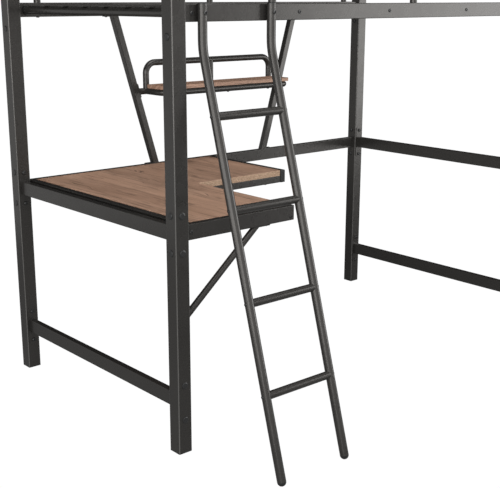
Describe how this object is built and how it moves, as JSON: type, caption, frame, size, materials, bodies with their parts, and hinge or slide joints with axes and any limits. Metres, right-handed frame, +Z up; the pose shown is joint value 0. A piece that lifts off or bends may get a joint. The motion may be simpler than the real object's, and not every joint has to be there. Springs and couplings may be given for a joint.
{
  "type": "loft bed with desk",
  "caption": "Steel-framed loft bed with an L-shaped desk and a small guarded shelf below the deck and a leaning ladder at the front.",
  "frame": {"origin": "on the floor, below the middle of the whole outline, the ladder included", "axes": "+X along the bed, from the desk end to the open end; +Y from the ladder side to the back; +Z up"},
  "size_m": [2.014, 1.4978, 1.835],
  "materials": {
    "frame_steel": "charcoal powder coat, satin, with a fine orange-peel texture",
    "wood_board": "brown rustic wood-grain laminate on particle board, with raw pale edges at the desk's step",
    "black_plastic": "black moulded plastic, matte",
    "fastener_steel": "black-coated steel"
  },
  "bodies": {
    "root": {"front_left_post": "frame_steel", "front_right_post": "frame_steel", "back_left_post": "frame_steel", "back_right_post": "frame_steel", "post_feet": "black_plastic", "post_caps": "black_plastic", "left_bottom_rail": "frame_steel", "left_desk_rail": "frame_steel", "left_low_guard_rail": "frame_steel", "left_top_guard_rail": "frame_steel", "right_bottom_rail": "frame_steel", "right_middle_rail": "frame_steel", "right_low_guard_rail": "frame_steel", "right_top_guard_rail": "frame_steel", "back_middle_rail": "frame_steel", "front_side_rail": "frame_steel", "back_side_rail": "frame_steel", "deck_cross_bars": "frame_steel", "cross_bar_collars": "black_plastic", "deck_strips": "frame_steel", "strip_rivets": "fastener_steel", "front_guard_hoop": "frame_steel", "front_guard_middle_rails": "frame_steel", "front_guard_leg": "frame_steel", "back_guard_hoop": "frame_steel", "back_guard_middle_rails": "frame_steel", "back_guard_leg": "frame_steel", "guard_screws": "fastener_steel", "desk_front_rail": "frame_steel", "desk_left_rail": "frame_steel", "desk_right_rail": "frame_steel", "desk_middle_bar": "frame_steel", "desk_front_bar": "frame_steel", "desk_rail_plugs": "black_plastic", "desk_board": "wood_board", "desk_frame_screws": "fastener_steel", "desk_board_screws": "fastener_steel", "desk_brace": "frame_steel", "brace_bolts": "fastener_steel", "back_left_diagonal": "frame_steel", "back_right_diagonal": "frame_steel", "diagonal_screws": "fastener_steel", "shelf_rear_tube": "frame_steel", "shelf_front_loop": "frame_steel", "shelf_guard_hoop": "frame_steel", "shelf_guard_leg": "frame_steel", "shelf_board": "wood_board", "shelf_board_screws": "fastener_steel", "shelf_end_screws": "fastener_steel", "ladder_left_stile": "frame_steel", "ladder_right_stile": "frame_steel", "ladder_rungs": "frame_steel", "rung_screws": "fastener_steel", "ladder_feet": "black_plastic", "ladder_caps": "black_plastic", "ladder_bolts": "fastener_steel", "frame_bolts": "fastener_steel", "frame_nuts": "fastener_steel", "access_hole_plugs": "black_plastic", "cross_bar_bolts": "fastener_steel"}
  },
  "joints": []
}
